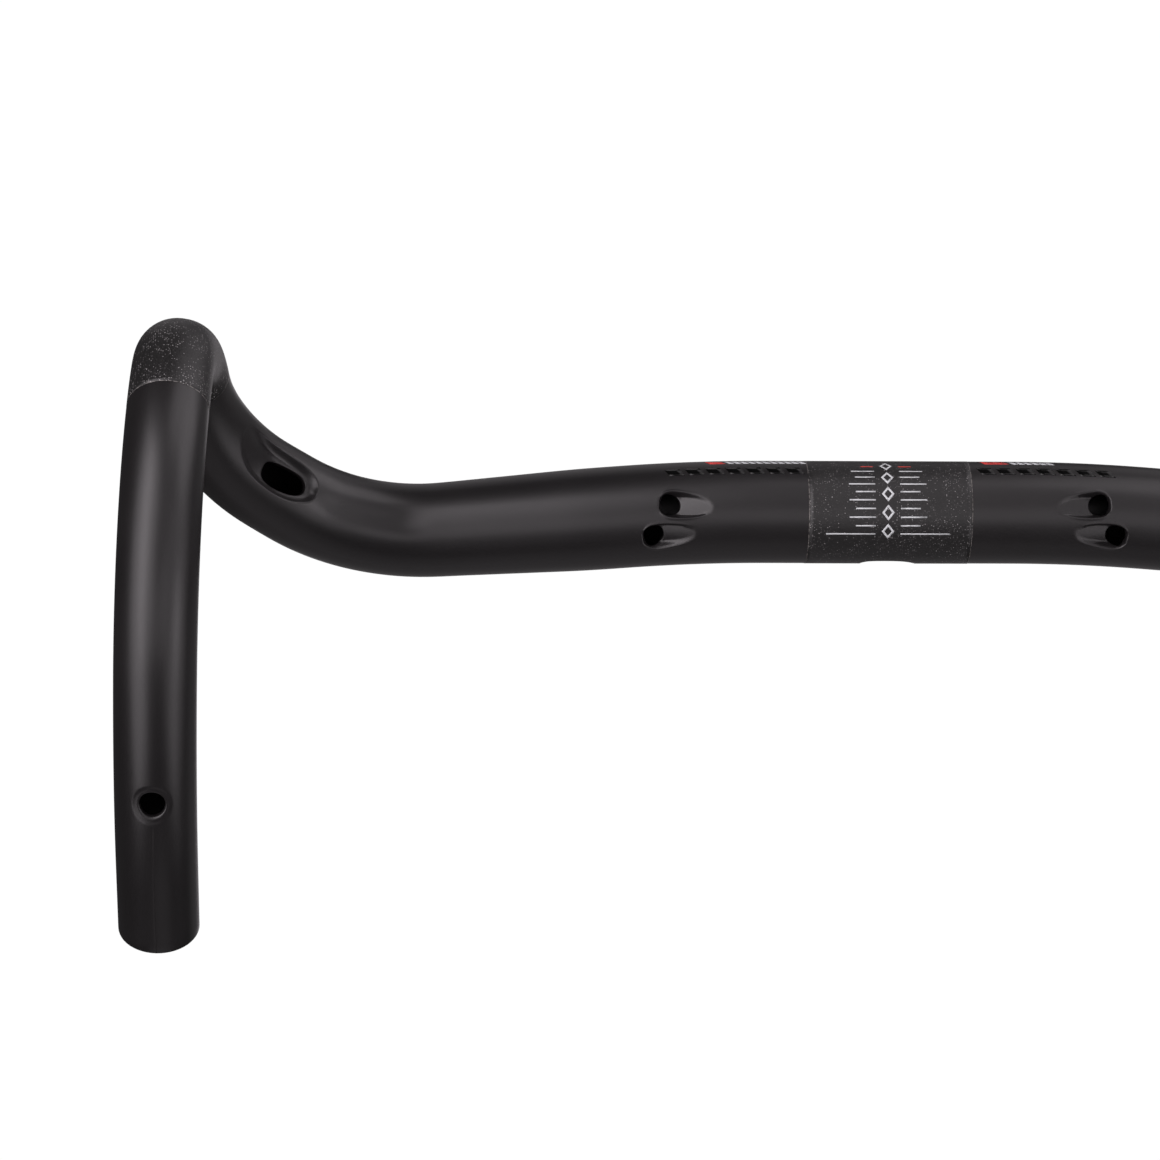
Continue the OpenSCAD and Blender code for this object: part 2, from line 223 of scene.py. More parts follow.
entryRecess = {"deep": 2.8, "middle": 4.2, "near": 16.8, "far": 23.5, "wide": 7.4, "power": 2.6,
               "wall": 0.42, "rise": 0.8, "bow": 0.0045, "bowFrom": 6.0, "climb": 0.88, "climbFrom": 1.0,
               "climbLong": 21.0}


def recessDepth(p, x, y):
    # A teardrop: inside where |t| ** power + ((y - bow) / wide) ** 2 is below 1. The wall is steep, and the
    # floor climbs towards the far end, where the cable comes in from the lever.
    e = entryRecess
    along = x - e["middle"]
    t = along / np.where(along > 0, e["far"], e["near"])
    bow = e["rise"] + e["bow"] * np.clip(along - e["bowFrom"], 0, None) ** 2
    inside = 1 - np.abs(t) ** e["power"] - ((y - bow) / e["wide"]) ** 2
    depth = e["deep"] * (1 - e["climb"] * smoothStep((along - e["climbFrom"]) / e["climbLong"]))
    return depth * (1 - (1 - np.clip(inside / e["wall"], 0, 1)) ** 2)


wireDish = {"deep": 0.28, "radius": 6.3, "wall": 1.3}


def dishDepth(p, x, y):
    # A shallow round dish with a soft edge: deep * smoothStep((radius - distance) / wall)
    e = wireDish
    return e["deep"] * smoothStep((e["radius"] - np.hypot(x, y)) / e["wall"])


thumbGroove = {"deep": 0.85, "from": 139.0, "to": 192.0, "angle": -33.0, "wide": 3.7, "fade": 15.0}


def grooveDepth(s, phi):
    # A shallow groove along the corner bend: a bell curve across, faded in and out along the tube
    e = thumbGroove
    t = np.abs(s)
    y = shellRadius(t) * np.radians(phi - e["angle"])
    ends = smoothStep((t - e["from"]) / e["fade"]) * smoothStep((e["to"] - t) / e["fade"])
    return e["deep"] * ends * np.exp(-(y / e["wide"]) ** 2)


pressed = {"upperExit": scoopDepth, "lowerExit": scoopDepth, "entry": recessDepth, "wire": dishDepth}


def surfaceDepth(s, phi):
    # How far the surface lies inside the plain tube at each point
    s, phi = np.broadcast_arrays(s, phi)
    phi = (phi + 180) % 360 - 180
    total = grooveDepth(s, phi)
    for p in ports:
        if p["kind"] in pressed:
            x, y = localPlace(p, s, phi)
            total = total + np.where(s * p["side"] > 0, pressed[p["kind"]](p, x, y), 0)
    return total


def meshObject(name, s, phi, radius, quads, body="root"):
    # Vertices from their places on the tube. The map barMap holds distance along it in metres and turns
    # round it, so a pattern can follow the bar.
    mesh = bpy.data.meshes.new(name)
    used, quads = np.unique(quads, return_inverse=True)
    quads = quads.reshape(-1, 4)
    s, phi, radius = s[used], phi[used], radius[used]
    mesh.from_pydata(tubePoint(s, phi, radius).tolist(), [], quads.tolist())
    mesh.polygons.foreach_set("use_smooth", np.ones(len(quads), bool))
    corner = phi[quads]
    corner = corner + 360 * (corner.max(axis=1, keepdims=True) - corner > 180)
    uv = np.stack([s[quads] * mm, corner / 360], axis=-1)
    mesh.uv_layers.new(name="barMap").data.foreach_set("uv", uv.ravel())
    mesh.update()
    made = bpy.data.objects.new(name, mesh)
    bpy.context.scene.collection.objects.link(made)
    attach(made, body)
    return made


def ringQuads(a, b):
    # Quads between two closed rings of vertex numbers
    return np.stack([a, np.roll(a, -1), np.roll(b, -1), b], axis=1)


def windowLoop(i0, i1, j0, j1):
    # Grid numbers round a window, ring angle first, so that the faces inside point outwards
    tall, long = j1 - j0, i1 - i0
    i = [np.full(tall, i0), np.arange(i0, i1), np.full(tall, i1), np.arange(i1, i0, -1)]
    j = [np.arange(j0, j1), np.full(long, j1), np.arange(j1, j0, -1), np.full(long, j0)]
    return np.concatenate(i), np.concatenate(j)


def outline(p, angle, grow):
    # Superellipse: distance = (|cos a / A| ** n + |sin a / B| ** n) ** (-1 / n), A and B grown alike
    a = angle - radians(p["slant"])
    n = p["power"]
    across, upwards = np.cos(a) / (p["hole"][0] + grow), np.sin(a) / (p["hole"][1] + grow)
    far = (np.abs(across) ** n + np.abs(upwards) ** n) ** (-1 / n)
    return far * np.cos(angle), far * np.sin(angle)


# How finely edges are cut: the turns of a lip and of a rounded end in degrees, the share of the wall that a
# lip may take, the rings down through the wall, and where the rings on the inner side lie
edgeCut = {"lipTurns": (22.5, 45, 67.5, 90), "endTurns": (30, 60, 90), "lipShare": 0.6, "wallRings": 3,
           "innerRings": (0.2, 0.5)}


def portRings(p, s, phi, wall):
    # Rings from the window's edge over the lip, down through the wall and back to the window on the inner
    # side. Each ring is (s, phi, how far below the surface).
    x, y = localPlace(p, s, phi)
    angle = np.arctan2(y, x)
    base = shellRadius(p["at"])

    def place(grow, below):
        ox, oy = outline(p, angle, grow)
        return (p["at"] + ox) * (p["side"] or 1), p["angle"] + np.degrees(oy / (base - below))

    rings = []
    edge = place(p["lip"], 0)
    for t in np.arange(1, p["rings"] + 1) / p["rings"]:
        rings.append((s + (edge[0] - s) * t, phi + (edge[1] - phi) * t, 0))
    lip = min(p["lip"], wall * edgeCut["lipShare"])
    for a in np.radians(edgeCut["lipTurns"]):
        below = lip * (1 - np.cos(a))
        rings.append((*place(p["lip"] * (1 - np.sin(a)), below), below))
    for below in np.linspace(lip, wall, edgeCut["wallRings"] + 1)[1:]:
        rings.append((*place(0, below), below))
    edge = place(0, wall)
    for t in edgeCut["innerRings"]:
        rings.append((edge[0] + (s - edge[0]) * t, edge[1] + (phi - edge[1]) * t, wall))
    return rings


def tubeSolid(name, stations, angles, outer, wall, holes, rim):
    # A hollow tube on a grid of stations by ring angles: each point lies at outer(s, phi) less how far it is
    # below the surface. It has its holes, its inner side and its closed ends.
    rows, around = len(stations), len(angles)
    s, phi = (a.ravel() for a in np.meshgrid(stations, angles, indexing="ij"))
    below = np.concatenate([np.zeros(s.size), np.full(s.size, wall)])
    blocks = [(np.tile(s, 2), np.tile(phi, 2), below)]
    number = np.arange(rows * around).reshape(rows, around)
    inside = number + number.size
    count = 2 * number.size
    keep = np.ones((rows - 1, around), bool)
    quads = []
    for p in holes:
        low, high = p["at"] - p["window"][0], p["at"] + p["window"][1]
        if p["side"] < 0:
            low, high = -high, -low
        degrees = np.degrees(np.array([-p["window"][2], p["window"][3]]) / shellRadius(p["at"])) + p["angle"]
        i0, i1 = np.searchsorted(stations, [low, high])
        j0, j1 = np.abs(angles[:, None] - degrees).argmin(axis=0)
        i, j = windowLoop(i0, i1, j0, j1)
        keep[i0:i1, j0:j1] = False
        rings = portRings(p, stations[i], angles[j], wall)
        ids = [number[i, j]]
        for ring in rings:
            blocks.append((ring[0], ring[1], np.full(len(i), float(ring[2]))))
            ids.append(np.arange(count, count + len(i)))
            count += len(i)
        ids.append(inside[i, j])
        quads += [ringQuads(a, b) for a, b in zip(ids, ids[1:])]
    i, j = np.nonzero(keep)
    k = (j + 1) % around
    quads.append(np.stack([number[i, j], number[i, k], number[i + 1, k], number[i + 1, j]], axis=1))
    quads.append(np.stack([inside[i, j], inside[i + 1, j], inside[i + 1, k], inside[i, k]], axis=1))
    # The ends: a quarter round at the outer and at the inner edge of the wall
    turns = np.radians(edgeCut["endTurns"])
    profile = [(rim * np.sin(a), rim * (1 - np.cos(a))) for a in turns]
    profile += [(rim * np.sin(a), wall - rim * (1 - np.cos(a))) for a in turns[::-1]]
    for end, sign in ((0, -1), (rows - 1, 1)):
        ids = [number[end]]
        for along, under in profile if rim else []:
            blocks.append((np.full(around, stations[end] + sign * along), angles, np.full(around, under)))
            ids.append(np.arange(count, count + around))
            count += around
        ids.append(inside[end])
        rims = [ringQuads(a, b) for a, b in zip(ids, ids[1:])]
        quads += rims if sign > 0 else [q[:, ::-1] for q in rims]
    s, phi, below = (np.concatenate([block[k] for block in blocks]) for k in range(3))
    return meshObject(name, s, phi, outer(s, phi) - below, np.concatenate(quads))


def spread(at, *zones):
    # Values from a start through zones, each given by where it ends and the step in it
    values = [[at]]
    for end, step in zones:
        values.append(np.linspace(at, end, max(1, round((end - at) / step)) + 1)[1:])
        at = end
    return np.concatenate(values)


def ringAngles(*zones):
    return spread(-180, *zones)[:-1]


def slabSolid(name, cells, base, height, split):
    # Thin closed slabs on the tube. cells holds four (s, phi) corners for each slab, and between them the
    # surface is corner blending: p = (1 - a)(1 - b) c0 + (1 - a) b c1 + a b c2 + a (1 - b) c3
    cells = np.asarray(cells, float)
    turned = np.roll(cells, -1, axis=1)
    area = (cells[..., 0] * turned[..., 1] - turned[..., 0] * cells[..., 1]).sum(axis=1)
    cells = np.where((area > 0)[:, None, None], cells[:, ::-1], cells)
    na, nb = split
    a, b = np.meshgrid(np.linspace(0, 1, na + 1), np.linspace(0, 1, nb + 1), indexing="ij")
    weights = np.stack([(1 - a) * (1 - b), (1 - a) * b, a * b, a * (1 - b)], axis=-1)
    grid = np.einsum("abk,mkc->mabc", weights, cells)
    number = np.arange(len(cells) * a.size).reshape(len(cells), na + 1, nb + 1)
    low = number + number.size
    top = np.stack([number[:, :-1, :-1], number[:, :-1, 1:], number[:, 1:, 1:], number[:, 1:, :-1]], axis=-1)
    bottom = (top + number.size)[..., ::-1]
    i, j = windowLoop(0, na, 0, nb)
    edge, under = number[:, i, j], low[:, i, j]
    wall = np.stack([np.roll(edge, -1, axis=1), edge, under, np.roll(under, -1, axis=1)], axis=-1)
    quads = np.concatenate([q.reshape(-1, 4) for q in (top, bottom, wall)])
    s, phi = np.tile(grid[..., 0].ravel(), 2), np.tile(grid[..., 1].ravel(), 2)
    lift = np.repeat([height, 0], number.size)
    return meshObject(name, s, phi, base + lift, quads)


def lozengeRings(name, middle, centres, size, line, cuts, base, height):
    # Open lozenges round the tube: four straight sides, a + (b - a) * step, carried round as a section with
    # four corners, outer and inner edge at the top and at the bottom
    width, tall = size
    step = np.linspace(0, 1, cuts + 1)[:-1, None]
    corners = np.array([[-1, 0], [0, 1], [1, 0], [0, -1], [-1, 0]], float)
    ring = np.concatenate([a + (b - a) * step for a, b in zip(corners, corners[1:])])
    inner = 1 - 2 * line / width
    shape = np.stack([ring * scale for scale in (1, inner, inner, 1)], axis=1)
    s = middle + np.broadcast_to(shape[None, :, :, 0] * width / 2, (len(centres), *shape.shape[:2]))
    up = np.degrees(shape[None, :, :, 1] * tall / 2 / base)
    phi = np.asarray(centres)[:, None, None] + up
    lift = np.broadcast_to([height, height, 0, 0], s.shape)
    here = np.arange(s.size).reshape(s.shape)
    after = np.roll(here, -1, axis=1)
    quads = np.stack([here, after, np.roll(after, -1, axis=2), np.roll(here, -1, axis=2)], axis=-1)
    return meshObject(name, s.ravel(), phi.ravel(), base + lift.ravel(), quads.reshape(-1, 4))


class Wire:
    # Wraps a socket, so that shader maths is written as a Python expression
    def __init__(self, tree, socket=None):
        self.tree = tree
        self.socket = socket

    def make(self, kind, settings=None, sockets=None, out=0):
        # Any node: its type, its settings, the values or links of its sockets, and the output that is used
        node = self.tree.nodes.new("ShaderNode" + kind)
        for key, value in (settings or {}).items():
            setattr(node, key, value)
        for key, value in (sockets or {}).items():
            if isinstance(value, Wire):
                self.tree.links.new(value.socket, node.inputs[key])
            else:
                node.inputs[key].default_value = value
        return Wire(self.tree, node.outputs[out])

    def maths(self, operation, first, second=0.0):
        return self.make("Math", {"operation": operation}, {0: first, 1: second})

    def __add__(self, other):
        return self.maths("ADD", self, other)

    def __sub__(self, other):
        return self.maths("SUBTRACT", self, other)

    def __rsub__(self, other):
        return self.maths("SUBTRACT", other, self)

    def __mul__(self, other):
        return self.maths("MULTIPLY", self, other)

    __radd__ = __add__
    __rmul__ = __mul__

    def size(self):
        return self.maths("ABSOLUTE", self)

    def above(self, low, high):
        # 0 up to low, 1 from high, smooth between
        return self.make("MapRange", {"interpolation_type": "SMOOTHSTEP"}, {0: self, 1: low, 2: high})

    def below(self, low, high):
        return 1 - self.above(low, high)

    def mix(self, first, second):
        # Colours mixed by this mask
        return self.make("Mix", {"data_type": "RGBA"}, {0: self, 6: first, 7: second}, out=2)


def rgb(r, g, b):
    return (r, g, b, 1.0)


def newMaterial(name, **fixed):
    # A material with its shader; fixed values go on the shader's own sockets
    material = bpy.data.materials.new(name)
    material.use_nodes = True
    tree = material.node_tree
    shader = tree.nodes["Principled BSDF"]
    for key, value in fixed.items():
        shader.inputs[key.replace("_", " ")].default_value = value
    start = Wire(tree)

    def connect(**links):
        for key, wire in links.items():
            tree.links.new(wire.socket, shader.inputs[key.replace("_", " ")])

    return material, start, connect


def objectPlace(wire):
    return wire.make("TexCoord", out="Object")


def barMap(wire):
    # Distance along the bar in metres and turns round it
    split = wire.make("SeparateXYZ", sockets={0: wire.make("UVMap", {"uv_map": "barMap"})})
    outputs = split.socket.node.outputs
    return Wire(wire.tree, outputs[0]), Wire(wire.tree, outputs[1])


def noise(wire, place, scale, detail=2.0, roughness=0.5):
    sockets = {"Vector": place, "Scale": scale, "Detail": detail, "Roughness": roughness}
    return wire.make("TexNoise", sockets=sockets)


def bumps(wire, strength, distance, height):
    return wire.make("Bump", sockets={"Strength": strength, "Distance": distance, "Height": height})


def dots(wire, place, scale, radius, share):
    # Round dots: cells of a Voronoi pattern, kept where the cell's own random number is in the share
    cell = wire.make("TexVoronoi", sockets={"Vector": place, "Scale": scale})
    chance = wire.make("SeparateXYZ", sockets={0: Wire(wire.tree, cell.socket.node.outputs["Color"])})
    return cell.below(radius * 0.5, radius) * chance.above(1 - share, 1 - share * 0.4)


# In a material lengths are in metres and the scale of a pattern is per metre, because Object coordinates are
# in metres
carbonLook = {"colour": rgb(0.0062, 0.0055, 0.0059), "worn": rgb(0.0100, 0.0090, 0.0093), "specular": 0.5,
              "roughness": 0.36, "roughnessSpread": 0.07, "mottle": 26.0, "mottleRange": (0.35, 0.75),
              "mottleShare": 0.5, "peel": 1500.0, "peelRoughness": 0.03, "peelDepth": 0.25,
              "bumpStrength": 0.3, "bumpHeight": 0.0001, "seamTurn": 82.5 / 360, "seamFrom": 0.4265,
              "seamFade": 0.004, "seamHalf": 0.005, "seamShare": 0.35, "seamDepth": 3.0}


def carbonMaterial(look):
    # Satin clear coat over black laminate: faint mottle, fine orange peel, a hairline joint under the drop
    material, start, connect = newMaterial("carbonShell", Specular_IOR_Level=look["specular"])
    place = objectPlace(start)
    along, turns = barMap(start)
    mottle = noise(start, place, look["mottle"], 3.0)
    peel = noise(start, place, look["peel"], 2.0)
    seam = ((turns - look["seamTurn"]).size().below(0, look["seamHalf"])
            * along.size().above(look["seamFrom"], look["seamFrom"] + look["seamFade"]))
    worn = mottle.above(*look["mottleRange"]) * look["mottleShare"] + seam * look["seamShare"]
    colour = worn.mix(look["colour"], look["worn"])
    roughness = (look["roughness"] + (mottle - 0.5) * look["roughnessSpread"]
                 + (peel - 0.5) * look["peelRoughness"])
    bump = bumps(start, look["bumpStrength"], look["bumpHeight"],
                 peel * look["peelDepth"] - seam * look["seamDepth"])
    connect(Base_Color=colour, Roughness=roughness, Normal=bump)
    return material


# Pale specks, partly grit grains and dust and partly painted glints of the grit, are given as (scale,
# radius, share): fine ones lie in clouds and near the edge, coarse ones anywhere
gritLook = {"colour": rgb(0.0048, 0.0046, 0.0047), "sandy": rgb(0.012, 0.0115, 0.011),
            "grainAndGlint": rgb(0.34, 0.33, 0.33), "edge": rgb(0.17, 0.16, 0.15), "specular": 0.5,
            "roughness": 0.44, "roughnessSpread": 0.25, "sand": 2600.0, "sandRange": (0.35, 0.8),
            "bumpStrength": 0.4, "bumpHeight": 0.00007, "fine": (2000.0, 0.32, 0.62), "fineTone": 0.5,
            "coarse": (1500.0, 0.24, 0.34), "coarseTone": 0.9, "cloud": 120.0, "cloudRange": (0.36, 0.60),
            "cloudShare": 0.65, "nearEdge": 0.013, "edgeWidth": (0.00008, 0.0003), "edgeNoise": 900.0,
            "edgeRange": (0.36, 0.6)}
# The lever's coat has more fine pale specks: more painted glints on its grit
leverGritLook = dict(gritLook, fine=(1500.0, 0.34, 0.9), fineTone=0.85)


def gritMaterial(name, look, ends):
    # Friction coat: a sandy dark ground with pale specks that are partly grit grains and dust and partly
    # painted glints, more of them near its ends, and a thin pale edge
    material, start, connect = newMaterial(name, Specular_IOR_Level=look["specular"])
    place = objectPlace(start)
    along = barMap(start)[0]
    low, high = (end * mm for end in ends)
    inside = along if low < 0 else along.size()
    toEdge = start.maths("MINIMUM", inside - low, high - inside)
    sand = noise(start, place, look["sand"], 3.0, 0.7)
    cloud = noise(start, place, look["cloud"], 2.0)
    clouds = cloud.above(*look["cloudRange"]) * look["cloudShare"]
    near = toEdge.below(0.0, look["nearEdge"]) * (1 - look["cloudShare"])
    fine = dots(start, place, *look["fine"]) * (clouds + near)
    coarse = dots(start, place, *look["coarse"])
    # Pale specks for the colour: partly grit grains and dust, partly painted glints
    grainsAndGlints = start.maths("MINIMUM", fine * look["fineTone"] + coarse * look["coarseTone"], 1.0)
    ragged = noise(start, place, look["edgeNoise"], 2.0)
    edge = toEdge.below(*look["edgeWidth"]) * ragged.above(*look["edgeRange"])
    ground = sand.above(*look["sandRange"]).mix(look["colour"], look["sandy"])
    colour = edge.mix(grainsAndGlints.mix(ground, look["grainAndGlint"]), look["edge"])
    roughness = look["roughness"] + (sand - 0.5) * look["roughnessSpread"]
    bump = bumps(start, look["bumpStrength"], look["bumpHeight"], sand + grainsAndGlints)
    connect(Base_Color=colour, Roughness=roughness, Normal=bump)
    return material


# Each ink: its colour, its roughness, how much of it is rubbed thin, and its specular level
inks = {"palePrint": (rgb(0.50, 0.52, 0.53), 0.42, 0.8, 0.5),
        "redPrint": (rgb(0.55, 0.035, 0.03), 0.40, 0.8, 0.5),
        "glossPrint": (rgb(0.002, 0.002, 0.002), 0.13, 0.2, 0.25)}
inkWear = {"blotch": 700.0, "thinRange": (0.30, 0.48), "darker": 0.45, "roughnessSpread": 0.12,
           "bumpStrength": 0.15, "bumpHeight": 0.00004}


def printMaterial(name, colour, roughness, wear, specular):
    # Screen print: thin ink with a slightly uneven edge of tone and tiny gaps where it has rubbed
    material, start, connect = newMaterial(name, Specular_IOR_Level=specular)
    blotch = noise(start, objectPlace(start), inkWear["blotch"], 3.0, 0.65)
    thin = blotch.below(*inkWear["thinRange"]) * wear
    darker = rgb(*(value * inkWear["darker"] for value in colour[:3]))
    bump = bumps(start, inkWear["bumpStrength"], inkWear["bumpHeight"], blotch)
    connect(Base_Color=thin.mix(colour, darker), Normal=bump,
            Roughness=roughness + (blotch - 0.5) * inkWear["roughnessSpread"])
    return material


laminateLook = {"dark": rgb(0.010, 0.010, 0.010), "pale": rgb(0.045, 0.042, 0.038), "specular": 0.5,
                "roughness": 0.30, "roughnessSpread": 0.2, "plyAngle": 45, "bands": 260.0, "wobble": 1.5,
                "bumpStrength": 0.3, "bumpHeight": 0.00008}


def laminateMaterial(look):
    # Inner plies: bands of fibre in two directions under satin resin
    material, start, connect = newMaterial("innerLaminate", Specular_IOR_Level=look["specular"])
    lean = radians(look["plyAngle"])
    turned = start.make("Mapping", sockets={0: objectPlace(start), "Rotation": (lean, 0, lean)})
    sockets = {"Vector": turned, "Scale": look["bands"], "Distortion": look["wobble"], "Detail": 2.0,
               "Detail Scale": 3.0}
    fibres = [start.make("TexWave", {"bands_direction": d}, sockets, out="Fac") for d in ("X", "Y")]
    weave = fibres[0] * 0.5 + fibres[1] * 0.5
    bump = bumps(start, look["bumpStrength"], look["bumpHeight"], weave)
    connect(Base_Color=weave.mix(look["dark"], look["pale"]), Normal=bump,
            Roughness=look["roughness"] + weave * look["roughnessSpread"])
    return material


def dress(piece, material, slot, *nodes):
    # The finish of a piece, the record's slot that it comes from, which is not used, and the CAD nodes that
    # it stands for
    piece.data.materials.clear()
    piece.data.materials.append(material)
    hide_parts(*nodes)


def bothSides(*names):
    return [f"{side}_{name}" for name in names for side in sides]


# Where each zone of the shell's grid ends and its step: along one half in mm, and round the tube in degrees
shellGrid = {"along": ((13, 1), (48, 3), (86, 1), (139, 3), (181, 2), (236, 1.2), (248, 1.7), (287, 1.5),
                       (411, 3), (432, 1.1)), "lastStep": 3, "round": ((-102, 7), (12, 3.2), (180, 7))}
shellParts = ("stem_half", "backsweep", "flat", "corner", "ramp", "shoulder_top", "lever_seat",
              "shoulder_bottom", "hook", "drop", "drop_end")


def buildShell():
    # Radius = plain tube's radius less the depth of the ports' shapes and of the thumb groove
    half = spread(0, *shellGrid["along"], (barLength - barSize["rim"], shellGrid["lastStep"]))
    stations = np.concatenate([-half[:0:-1], half])
    shell = tubeSolid("carbonShell", stations, ringAngles(*shellGrid["round"]),
                      lambda s, phi: shellRadius(s) - surfaceDepth(s, phi),
                      barSize["wall"], ports, barSize["rim"])
    dress(shell, carbonMaterial(carbonLook), "carbon_shell", *bothSides(*shellParts))
    return shell


# The grit coats: their thickness, and the lift that keeps them clear of the shell. Then the half length and
# middle of the stem's coat and where the lever's coat starts and ends, with the steps of their grids.
gritCoat = {"thick": 0.05, "lift": 0.002}
stemCoat = {"half": 25.25, "middle": 0.45, "along": ((-13, 1.5), (13, 1)), "lastStep": 1.5, "round": 6,
            "portLip": 0.03, "portRings": 8}
leverCoat = {"from": 249.0, "to": 304.8, "stations": 46, "round": 5.6}


def coatRadius(s, phi):
    return shellRadius(s) + gritCoat["thick"]


def buildCoats():
    c = stemCoat
    depth = gritCoat["thick"] - gritCoat["lift"]
    rear = dict(rearPort, lip=c["portLip"], rings=c["portRings"])
    rear["hole"] = tuple(half + rearPort["lip"] for half in rearPort["hole"])
    ends = c["middle"] - c["half"], c["middle"] + c["half"]
    stations = spread(ends[0], *c["along"], (ends[1], c["lastStep"]))
    coat = tubeSolid("stemGritCoat", stations, ringAngles((180, c["round"])), coatRadius, depth, [rear], 0)
    dress(coat, gritMaterial("stemGrit", gritLook, ends), "grit_coat", "stem_grip_coat")
    c = leverCoat
    leverGrit = gritMaterial("leverGrit", leverGritLook, (c["from"], c["to"]))
    angles = ringAngles((180, c["round"]))
    for side, sign in sides.items():
        stations = np.sort(sign * np.linspace(c["from"], c["to"], c["stations"]))
        coat = tubeSolid(f"{side}LeverGritCoat", stations, angles, coatRadius, depth, [], 0)
        dress(coat, leverGrit, "grit_coat", f"{side}_lever_grip_coat")


inkHigh = 0.03  # thickness of every print
# Lines run outwards from the gap; lengths from the lowest line up, and the last one is the red zero line
stemScale = {"middle": 1.3, "step": 9.67, "start": -69.0, "wide": 0.45, "gap": 3.85,
             "lengths": (15.2, 6.1, 8.1, 6.1, 8.1, 6.1, 8.1, 6.1, 7.2, 3.9)}
centreMarks = {"start": -65.8, "step": 21.3, "count": 5, "size": (3.9, 5.0), "line": 0.8, "cuts": 6}


def buildScale(pale, red):
    g = stemScale
    base = barSize["stem"] + gritCoat["thick"]
    half = np.degrees(g["wide"] / 2 / base)
    cells = []
    for k, long in enumerate(g["lengths"]):
        inner, outer, angle = g["gap"], g["gap"] + long, g["start"] + k * g["step"]
        corners = (inner, -half), (outer, -half), (outer, half), (inner, half)
        cells.append([[(g["middle"] + sign * x, angle + rise) for x, rise in corners] for sign in (1, -1)])
    cells = np.array(cells)
    lines = slabSolid("scaleLines", cells[:-1].reshape(-1, 4, 2), base, inkHigh, (2, 1))
    dress(lines, pale, "pale_print", "scale_lines")
    zero = slabSolid("zeroLines", cells[-1], base, inkHigh, (2, 1))
    dress(zero, red, "red_print", "zero_lines")
    m = centreMarks
    centres = m["start"] + m["step"] * np.arange(m["count"])
    marks = lozengeRings("centreMarks", g["middle"], centres, m["size"], m["line"], m["cuts"], base, inkHigh)
    dress(marks, pale, "pale_print", "centre_marks")


# Plain prints: where they lie along each half, the ring angles between which they lie, and their lean in mm
printSlant = 1.6
glossMarks = {"from": 27.4, "step": 6.0, "long": 4.5, "count": 7, "band": (3.5, 15.5)}
redBlock = {"right": (51.0, 55.7), "left": (29.0, 36.5), "band": (26.0, 36.0)}
paleStrip = {"right": (26.4, 50.4), "left": (37.6, 52.2), "band": (26.0, 36.0), "dash": 1.6, "step": 2.2}


def slanted(sign, start, end, band):
    # A parallelogram that leans the same way on both sides of the bar
    low, high = band
    lean = printSlant / 2
    return [(sign * start - lean, low), (sign * end - lean, low), (sign * end + lean, high),
            (sign * start + lean, high)]


def buildPrints(pale, red, gloss):
    base = barSize["stem"]
    for side, sign in sides.items():
        g = glossMarks
        cells = [slanted(sign, at, at + g["long"], g["band"])
                 for at in g["from"] + g["step"] * np.arange(g["count"])]
        bars = slabSolid(f"{side}GlossMarks", cells, base, inkHigh, (4, 3))
        dress(bars, gloss, "gloss_print", f"{side}_gloss_marks")
        cells = [slanted(sign, *redBlock[side], redBlock["band"])]
        block = slabSolid(f"{side}RedBlock", cells, base, inkHigh, (4, 3))
        dress(block, red, "red_print", f"{side}_red_block")
        g = paleStrip
        start, end = g[side]
        cells = [slanted(sign, at, at + g["dash"], g["band"])
                 for at in np.arange(start, end - g["dash"], g["step"])]
        strip = slabSolid(f"{side}PaleStrip", cells, base, inkHigh, (2, 3))
        dress(strip, pale, "pale_print", f"{side}_pale_strip")


# Camera: how far it looks up at the front of the bar, its yaw and roll, where the bar's middle lies from its
# line of sight in mm, its focal length and the width of its sensor
view = {"pitch": 43.391, "yaw": -2.5736, "roll": 0.1458, "distance": 1434.71, "right": 95.24, "up": 20.99,
        "lens": 143.52, "sensor": 36.0}
# Softboxes as seen from the bar: degrees left of the camera, degrees above it, width and height in degrees,
# and strength
softboxes = [(40, 15, 20, 76, 3.5), (40, -35, 20, 24, 1.6), (60, 3, 20, 100, 1.6), (20, 15, 20, 76, 1.45),
             (-10, 46, 40, 50, 0.35), (-20, -4, 20, 38, 0.9), (0, -10, 20, 26, 0.65),
             (-40, -5, 20, 76, 0.6), (-60, -10, 20, 25, 2.4), (-60, -35, 20, 25, 1.3),
             (-60, 28, 20, 50, 0.65), (-70, 65, 40, 25, 1.2), (-80, -10, 24, 76, 0.57),
             (-92, 40, 46, 25, 1.35), (165, 40, 30, 40, 0.25), (40, 137, 40, 40, 0.27),
             (0, -135, 40, 60, 0.16), (40, -90, 40, 30, 0.22), (-135, -5, 44, 44, 0.12),
             (180, 0, 30, 30, 0.6)]
# The softboxes' distance in metres, their watts for a square metre at strength 1 and their tint, and how
# bright the room and the white paper behind are
studio = {"reach": 2.2, "watts": 4, "tint": (1.0, 0.935, 0.975), "ambient": 0.045, "paper": 1.02}


def cameraAxes(v):
    # Looks up at the front of the bar, then yaws about its own up axis and rolls about its line of sight
    c, s = np.cos(radians(v["pitch"])), np.sin(radians(v["pitch"]))
    right, up, back = Vector((-1, 0, 0)), Vector((0, s, c)), Vector((0, c, -s))
    spin = Matrix.Rotation(radians(v["yaw"]), 3, up)
    right, back = spin @ right, spin @ back
    spin = Matrix.Rotation(radians(v["roll"]), 3, back)
    return spin @ right, spin @ up, back


def placed(thing, right, up, back, where):
    thing.matrix_world = Matrix((right, up, back)).transposed().to_4x4()
    thing.location = where
    bpy.context.scene.collection.objects.link(thing)
    return thing


def buildCamera():
    data = bpy.data.cameras.new("camera")
    data.lens, data.sensor_width = view["lens"], view["sensor"]
    right, up, back = cameraAxes(view)
    where = (back * view["distance"] - right * view["right"] - up * view["up"]) * mm
    bpy.context.scene.camera = placed(bpy.data.objects.new("camera", data), right, up, back, where)
    return right, up, back


